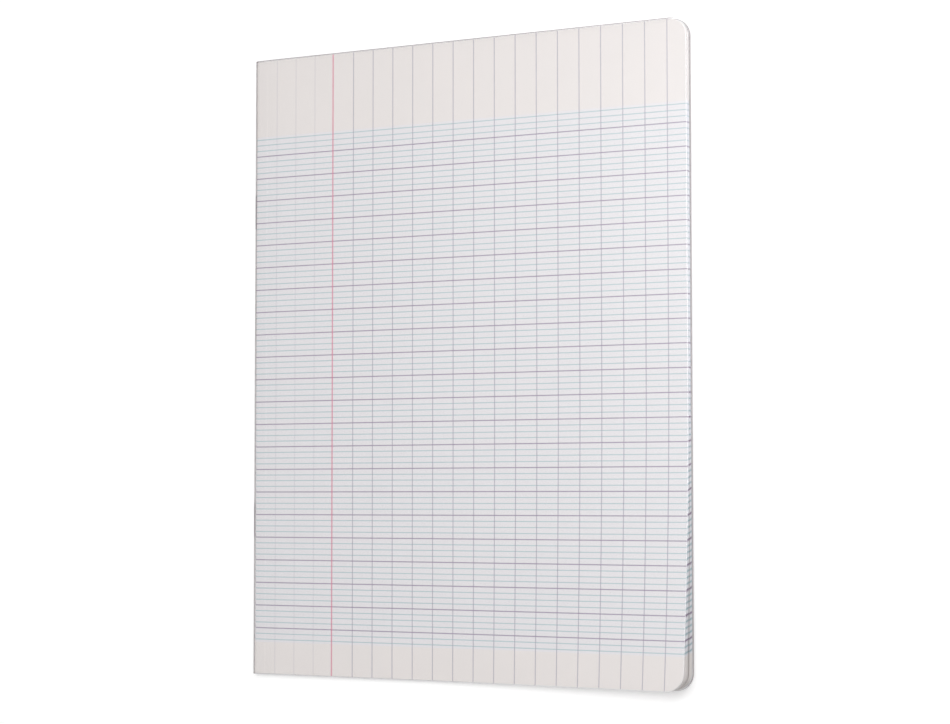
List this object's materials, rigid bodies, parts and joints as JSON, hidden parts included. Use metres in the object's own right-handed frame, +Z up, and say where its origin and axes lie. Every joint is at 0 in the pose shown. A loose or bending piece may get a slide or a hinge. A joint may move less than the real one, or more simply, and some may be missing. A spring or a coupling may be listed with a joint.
{
  "type": "stapled exercise book",
  "caption": "Closed saddle-stapled exercise book with a clear plastic cover over ruled leaves, rounded corners at the fore edge and a curled lower corner.",
  "frame": {"origin": "middle of the box round the closed book, on the table that its back cover lies on", "axes": "+X from the spine to the fore edge, +Y up the page from the tail to the head, +Z up through the front cover"},
  "size_m": [0.1692, 0.219, 0.0084],
  "materials": {
    "cover_film": "satin",
    "leaves": "matte",
    "staple_wire": "satin"
  },
  "bodies": {
    "book": {"back_cover": "cover_film", "pages": "leaves", "upper_staple": "staple_wire", "lower_staple": "staple_wire"},
    "front_cover": {"front_cover": "cover_film"}
  },
  "joints": [
    {"name": "front_cover_hinge", "type": "hinge", "parent": "book", "child": "front_cover", "pos_m": [-0.07853, 0, 0.00312], "axis": [0, -1, 0], "range_deg": [0, 178]}
  ]
}
